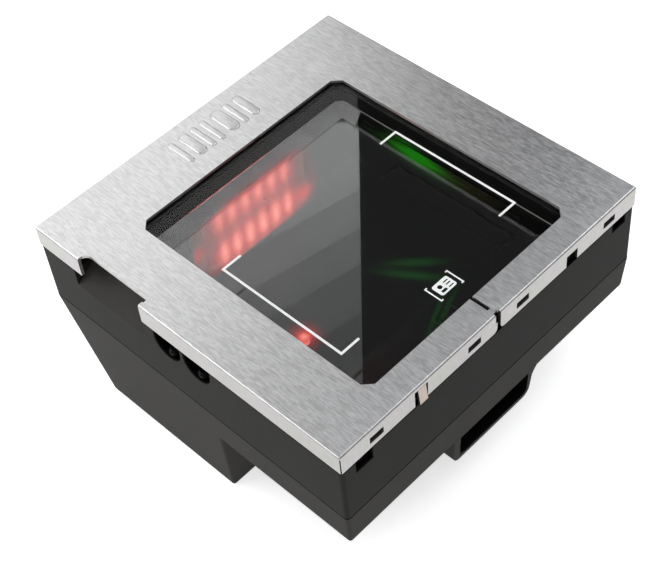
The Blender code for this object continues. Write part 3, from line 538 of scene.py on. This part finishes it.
def makePressedBars(p):
    # each bar is a stack of rounded outlines: grown by the first level value, at the second one's height
    x, y = p["start"]
    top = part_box("top_plate")[1][2] / mm
    turn = np.linspace(0, np.pi / 2, p["corner"])
    parts = []
    for width, pitch in p["rows"]:
        bend = width / 2 - p["round"]
        x0, x1, y0, y1 = x + bend, x + p["length"] - bend, y + bend, y + width - bend
        rings = []
        for grow, rise in p["levels"]:
            corners = [(cx + (bend + grow) * np.cos(turn + k * np.pi / 2),
                        cy + (bend + grow) * np.sin(turn + k * np.pi / 2))
                       for k, (cx, cy) in enumerate(((x1, y1), (x0, y1), (x0, y0), (x1, y0)))]
            ring = np.concatenate([np.stack(c, -1) for c in corners])
            rings.append(np.c_[ring, np.full(len(ring), top + rise)])
        n = len(rings[0])
        i = np.arange(n)
        j = (i + 1) % n
        faces = [list(range(n))[::-1]]
        for k in range(len(rings) - 1):
            faces += (np.stack([i, j, j + n, i + n], -1) + k * n).tolist()
        last = (len(rings) - 1) * n
        faces.append(list(range(last, last + n)))
        parts.append((np.concatenate(rings), faces))
        y += pitch
    makePiece("pressedBars", *merged(parts), bpy.data.materials[p["finish"]], "platter", "platter_steel",
              smooth=True)


makePressedBars(pressedBars)

# printed corner lines either side of the card symbol
cardLines = {"reach": 4.0, "line": 0.55, "returns": 1.15, "gap": 2.1}


def makeCardLines(c):
    low, high = (np.array(v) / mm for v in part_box("card_symbol"))
    x0, x1 = (low[0] + high[0]) / 2 - c["reach"], (low[0] + high[0]) / 2 + c["reach"]
    w, r = c["line"], c["returns"]
    edges = (("cardLineFront", -1, low[1] - c["gap"]), ("cardLineBack", 1, high[1] + c["gap"]))
    for name, side, outer in edges:
        inner, tip = outer - side * w, outer - side * r
        outline = [(x0, outer), (x1, outer), (x1, tip), (x1 - w, tip), (x1 - w, inner), (x0 + w, inner),
                   (x0 + w, tip), (x0, tip)]
        if side > 0:
            outline = outline[::-1]
        makePiece(name, *slab(outline, low[2], high[2]), finishes["ink"], "platter", "white_ink")


makeCardLines(cardLines)

# self-lit film over the two red rows: a soft upright spot for each lamp, as if it were frosted
redGlow = {
    "rows": ((51.2, 1.12), (68.8, 0.72)),    # height and power
    "strays": ((21.0, 50.0, 3.6, 3.6, 0.55), (-34.0, 60.0, 3.0, 3.4, 0.35),
               (30.0, 56.0, 3.0, 3.0, 0.08)),    # y, height, width, tallness and power
    "pitch": 6.9, "middle": -4.5, "spot": (2.2, 5.8), "halo": 9.0, "half": 20.8, "fade": 4.0,
    "film": ((-36.0, 29.0), (43.0, 74.2)), "ahead": 1.3, "mid": 0.34, "midTall": 0.9, "soft": 0.36,
    "hotness": 0.9, "cover": 0.55,
    "base": (0.02, 0.002, 0.002), "deep": (0.62, 0.006, 0.004), "hot": (1.0, 0.24, 0.18),
}


def makeRedGlow(g):
    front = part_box("led_diffuser_lower")[1][0] / mm + g["ahead"]
    mat, tree, shader = newMaterial("redGlowFilm")
    x, y, z = axisOf(tree, objectCoords(tree, perMm))
    away = calc(tree, "SUBTRACT", y, g["middle"])
    phase = calc(tree, "FRACT", calc(tree, "DIVIDE", calc(tree, "ADD", away, 100 * g["pitch"]), g["pitch"]))
    fromLamp = product(tree, calc(tree, "SUBTRACT", phase, 0.5), g["pitch"])    # a lamp sits at every half
    window = bell(tree, away, 0.0, g["half"], 12.0)
    spot, soft = 0.0, 0.0
    for height, power in g["rows"]:
        across = bell(tree, z, height, g["spot"][1])
        lamps = product(tree, bell(tree, fromLamp, 0.0, g["spot"][0]), window, across, power)
        between = product(tree, window, bell(tree, z, height, g["spot"][1] * g["midTall"]), power * g["mid"])
        broad = bell(tree, away, 0.0, g["half"] + g["fade"], 4.0)
        haze = product(tree, broad, bell(tree, z, height, g["halo"]), power)
        spot = lamps if spot == 0.0 else total(tree, spot, lamps)
        soft = total(tree, soft, between, product(tree, haze, g["soft"]))
    for yy, zz, wide, tall, power in g["strays"]:
        soft = total(tree, soft, product(tree, bell(tree, y, yy, wide), bell(tree, z, zz, tall), power))
    hot = calc(tree, "MULTIPLY", spot, g["hotness"], clamp=True)
    tree.links.new(mixColors(tree, hot, g["deep"], g["hot"]), shader.inputs["Emission Color"])
    glowing(shader, g["base"])
    cover = calc(tree, "ADD", product(tree, spot, g["cover"]), soft, clamp=True)
    tree.links.new(cover, shader.inputs["Alpha"])
    mat.surface_render_method = "BLENDED"
    (y0, y1), (z0, z1) = g["film"]
    yy, zz = np.meshgrid(np.linspace(y0, y1, 24), np.linspace(z0, z1, 16))
    sheet = [np.stack([np.full_like(yy, place), yy, zz], -1) for place in (front + filmThick, front)]
    makePiece("redGlowFilm", *closedSheet(*sheet), mat, "base", "red_lens")


makeRedGlow(redGlow)

# the green bar is brightest a third of the way along, and fades to brown at its far end
greenBar = {
    "peak": -7.0, "reach": 9.5, "power": 0.55,
    "tailOn": 14.0, "tailReach": 2.6, "tailPower": 0.35,
    "glow": (0.006, 0.20, 0.002), "tail": (0.022, 0.018, 0.004), "base": (0.002, 0.006, 0.002),
    "film": ((-40.0, 44.0), (56.0, 74.2)), "ahead": 0.5, "soft": (0.008, 0.17, 0.003),
    "spots": (    # on the film: x from the peak, half width, height, half height, power
        (1.0, 10.925, 69.4, 1.5, 0.85), (2.0, 14.25, 66.4, 2.8, 0.16), (-6.0, 6.0, 73.6, 0.7, 0.35)),
}


def makeGreenBar(g):
    mat, tree, shader = newMaterial("greenBar")
    x, y, z = axisOf(tree, objectCoords(tree, perMm))
    peak = bell(tree, x, g["peak"], g["reach"])
    dim = bell(tree, x, g["peak"] + g["tailOn"], g["reach"] * g["tailReach"], 4.0)
    tree.links.new(mixColors(tree, peak, g["tail"], g["glow"]), shader.inputs["Emission Color"])
    shader.inputs["Base Color"].default_value = (*g["base"], 1.0)
    shader.inputs["Roughness"].default_value = 0.4
    shader.inputs["Specular IOR Level"].default_value = 0.1
    strength = total(tree, product(tree, peak, g["power"]), product(tree, dim, g["tailPower"]))
    tree.links.new(strength, shader.inputs["Emission Strength"])
    dress(mat, "indicator_light_bar")


def makeGreenGlow(g):
    mat, tree, shader = newMaterial("greenGlowFilm")
    x, y, z = axisOf(tree, objectCoords(tree, perMm))
    bright, under, edge = [
        product(tree, bell(tree, x, g["peak"] + on, wide), bell(tree, z, height, tall), power)
        for on, wide, height, tall, power in g["spots"]]
    glowing(shader, g["base"])
    shader.inputs["Emission Color"].default_value = (*g["soft"], 1.0)
    cover = calc(tree, "ADD", total(tree, bright, under), edge, clamp=True)
    tree.links.new(cover, shader.inputs["Alpha"])
    mat.surface_render_method = "BLENDED"
    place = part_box("indicator_light_bar")[0][1] / mm - g["ahead"]
    (x0, x1), (z0, z1) = g["film"]
    xx, zz = np.meshgrid(np.linspace(x0, x1, 30), np.linspace(z0, z1, 12))
    sheet = [np.stack([xx, np.full_like(xx, y), zz], -1) for y in (place, place + filmThick)]
    makePiece("greenGlowFilm", *closedSheet(*sheet), mat, "base", "green_lens")


makeGreenBar(greenBar)
makeGreenGlow(greenBar)

# self-lit film over the chamber floor, with two faint green streaks of painted reflection from the green bar
greenEcho = {"film": ((1.0, 31.0), (9.0, 39.0)), "height": 0.9, "wide": 1.8, "cover": 0.6,
             "tone": (0.004, 0.045, 0.006), "base": (0.001, 0.003, 0.001),
             "streaks": ((16.0, 21.3, 0.568, 11.0), (13.0, 27.0, 0.75, 9.0))}    # x, y, heading, half length


def makeGreenEcho(g):
    mat, tree, shader = newMaterial("greenEchoFilm")
    x, y, z = axisOf(tree, objectCoords(tree, perMm))
    amount = 0.0
    for cx, cy, angle, half in g["streaks"]:
        ca, sa = math.cos(angle), math.sin(angle)
        along = total(tree, product(tree, x, ca), product(tree, y, sa), -cx * ca - cy * sa)
        across = total(tree, product(tree, y, ca), product(tree, x, -sa), cx * sa - cy * ca)
        streak = product(tree, bell(tree, along, 0.0, half), bell(tree, across, 0.0, g["wide"]))
        amount = total(tree, amount, streak)
    glowing(shader, g["base"])
    shader.inputs["Emission Color"].default_value = (*g["tone"], 1.0)
    tree.links.new(calc(tree, "MULTIPLY", amount, g["cover"], clamp=True), shader.inputs["Alpha"])
    mat.surface_render_method = "BLENDED"
    (x0, x1), (y0, y1) = g["film"]
    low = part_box("aimer_led")[0][2] / mm + g["height"]
    xx, yy = np.meshgrid(np.linspace(x0, x1, 16), np.linspace(y0, y1, 16))
    sheet = [np.stack([xx, yy, np.full_like(xx, height)], -1) for height in (low + filmThick, low)]
    makePiece("greenEchoFilm", *closedSheet(*sheet), mat, "base", "green_lens")


makeGreenEcho(greenEcho)

# self-lit film with a soft red spot over the aiming lamp
aimerGlow = {"half": 8.5, "core": 1.7, "halo": 4.2, "above": 0.4, "soft": 0.45,
             "tones": ((0.7, 0.01, 0.01), (1.0, 0.25, 0.18)), "base": (0.01, 0.001, 0.001)}


def makeAimerGlow(g):
    mat, tree, shader = newMaterial("aimerGlowFilm")
    middle = middleOf("aimer_led")
    place = objectCoords(tree, perMm, (-middle[0], -middle[1], 0.0))
    x, y, z = axisOf(tree, place)
    away = calc(tree, "SQRT", total(tree, product(tree, x, x), product(tree, y, y)))
    core = bell(tree, away, 0.0, g["core"])
    soft = bell(tree, away, 0.0, g["halo"])
    tree.links.new(mixColors(tree, core, *g["tones"]), shader.inputs["Emission Color"])
    glowing(shader, g["base"])
    cover = calc(tree, "ADD", core, product(tree, soft, g["soft"]), clamp=True)
    tree.links.new(cover, shader.inputs["Alpha"])
    mat.surface_render_method = "BLENDED"
    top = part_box("aimer_led")[1][2] / mm + g["above"]
    xs = np.linspace(middle[0] - g["half"], middle[0] + g["half"], 16)
    ys = np.linspace(middle[1] - g["half"], middle[1] + g["half"], 16)
    xx, yy = np.meshgrid(xs, ys)
    sheet = [np.stack([xx, yy, np.full_like(xx, height)], -1) for height in (top + filmThick, top)]
    makePiece("aimerGlowFilm", *closedSheet(*sheet), mat, "base", "red_lens")


makeAimerGlow(aimerGlow)
print("lights inside the chamber done")

# a thin bead of clear sealant round the top of the lower pane
bead = {"radius": 0.24, "tone": (0.32, 0.32, 0.31), "y": 50.62, "above": 0.02, "ends": (4.0, 2.0)}


def makePaneBead(b):
    low, high = (np.array(v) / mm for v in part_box("inner_glass"))
    z = high[2] + b["radius"] + b["above"]
    mat = plainFinish("clearSealant", b["tone"], 0.3)
    xs = np.linspace(low[0] + b["ends"][0], high[0] - b["ends"][1], 30)
    for name, side in (("paneBeadFront", -1), ("paneBeadBack", 1)):
        path = np.stack([xs, np.full_like(xs, side * b["y"]), np.full_like(xs, z)], -1)
        makePiece(name, *tube(path, b["radius"]), mat, "base", "rubber", smooth=True)


makePaneBead(bead)

# a thin self-lit grey strip of painted light on the wall edge of the lower pane, round one corner:
# it covers the dark reflection of the wall there
paneTape = {
    "wall": (-46.6, -38.2), "run": (-51.6, 51.6), "corner": (-35.4, -31.0, 43.5),
    "above": 0.02, "height": 0.08,
    "tone": (0.30, 0.296, 0.30), "glow": 0.42, "cover": (0.28, 0.38),
    "redSpill": (-37.6, 3.2, -0.5, 20.0, 0.75), "red": (0.9, 0.03, 0.025),
}


def makePaneGlowStrip(t):
    mat, tree, shader = newMaterial("paneTape")
    glowMottle = noise(tree, objectCoords(tree, (700, 700, 700)), detail=3.0)
    streak = noise(tree, objectCoords(tree, (60, 260, 60)), detail=3.0)
    grain = total(tree, product(tree, glowMottle, 0.3), product(tree, streak, 0.7))
    color = mixColors(tree, spread(tree, grain, 0, 1), tinted(t["tone"], 0.86), tinted(t["tone"], 1.1))
    tree.links.new(color, shader.inputs["Base Color"])
    x, y, z = axisOf(tree, objectCoords(tree, perMm))
    # painted light: a red spill of the upper red row's colour on the strip
    place, wide, middle, half, power = t["redSpill"]    # some of the upper red row's colour
    spill = product(tree, bell(tree, x, place, wide), bell(tree, y, middle, half, 8.0), power)
    tree.links.new(mixColors(tree, spill, color, t["red"]), shader.inputs["Emission Color"])
    shader.inputs["Emission Strength"].default_value = t["glow"]
    tree.links.new(spread(tree, grain, *t["cover"]), shader.inputs["Alpha"])
    mat.surface_render_method = "BLENDED"
    shader.inputs["Roughness"].default_value = 0.6
    shader.inputs["Specular IOR Level"].default_value = 0.05
    x0, x1 = t["wall"]
    y0, y1 = t["run"]
    x2, x3, yc = t["corner"]
    outline = [(x0, y0), (x1, y0), (x1, yc), (x3, yc), (x2, y1), (x0, y1)]
    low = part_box("inner_glass")[1][2] / mm + t["above"]
    makePiece("paneTape", *slab(outline, low, low + t["height"]), mat, "base", "rubber")


makePaneGlowStrip(paneTape)

# spring contacts in the two modular sockets, the tongue in the USB socket, the pin in the power jack
contacts = {
    "wires": {"count": 10, "pitch": 1.02, "radius": 0.17, "inset": 1.8, "depth": 9.5, "floor": 2.0,
              "rise": 3.4},
    "tongue": {"side": 1.6, "back": 1.8, "front": 1.2, "above": 0.6, "thick": 1.5},
    "pin": {"back": 2.2, "steps": (2.4, 1.6, 1.2), "radii": (0.95, 0.95, 0.75, 0.4), "down": 5.0},
}


def makeContacts(c):
    gold = plainFinish("goldPlate", (0.83, 0.58, 0.22), 0.3, 1.0)
    for socket in ("host_socket", "aux_socket"):
        low, high = (np.array(v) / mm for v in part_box(socket))
        w = c["wires"]
        t = np.linspace(0, 1, 12)
        x = high[0] - w["inset"] - w["depth"] * t
        # the wires rise from the floor of the mouth to its back
        z = low[2] + w["floor"] + w["rise"] * np.sin(t * np.pi / 2) ** 1.5
        wires = []
        for k in range(w["count"]):
            y = (low[1] + high[1]) / 2 + (k - (w["count"] - 1) / 2) * w["pitch"]
            wires.append(tube(np.stack([x, np.full_like(x, y), z], -1), w["radius"], 6))
        makePiece(socket.replace("_socket", "Contacts"), *merged(wires), gold, "base", "copper_foil",
                  smooth=True)
    low, high = (np.array(v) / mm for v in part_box("usb_socket"))
    g = c["tongue"]
    x0, x1 = low[0] + g["back"], high[0] - g["front"]
    y0, y1 = low[1] + g["side"], high[1] - g["side"]
    middle = (low[2] + high[2]) / 2 + g["above"]
    tongue = slab([(x0, y0), (x1, y0), (x1, y1), (x0, y1)], middle, middle + g["thick"])
    makePiece("usbTongue", *tongue, finishes["black"], "base", "black_plastic")
    low, high = (np.array(v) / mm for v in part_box("power_jack"))
    p = c["pin"]
    x = np.array([low[0] + p["back"], *(high[0] - step for step in p["steps"])])
    path = np.stack([x, np.full(4, (low[1] + high[1]) / 2), np.full(4, high[2] - p["down"])], -1)
    makePiece("powerPin", *tube(path, p["radii"], 14), gold, "base", "copper_foil", smooth=True)


makeContacts(contacts)
print("small pieces done")
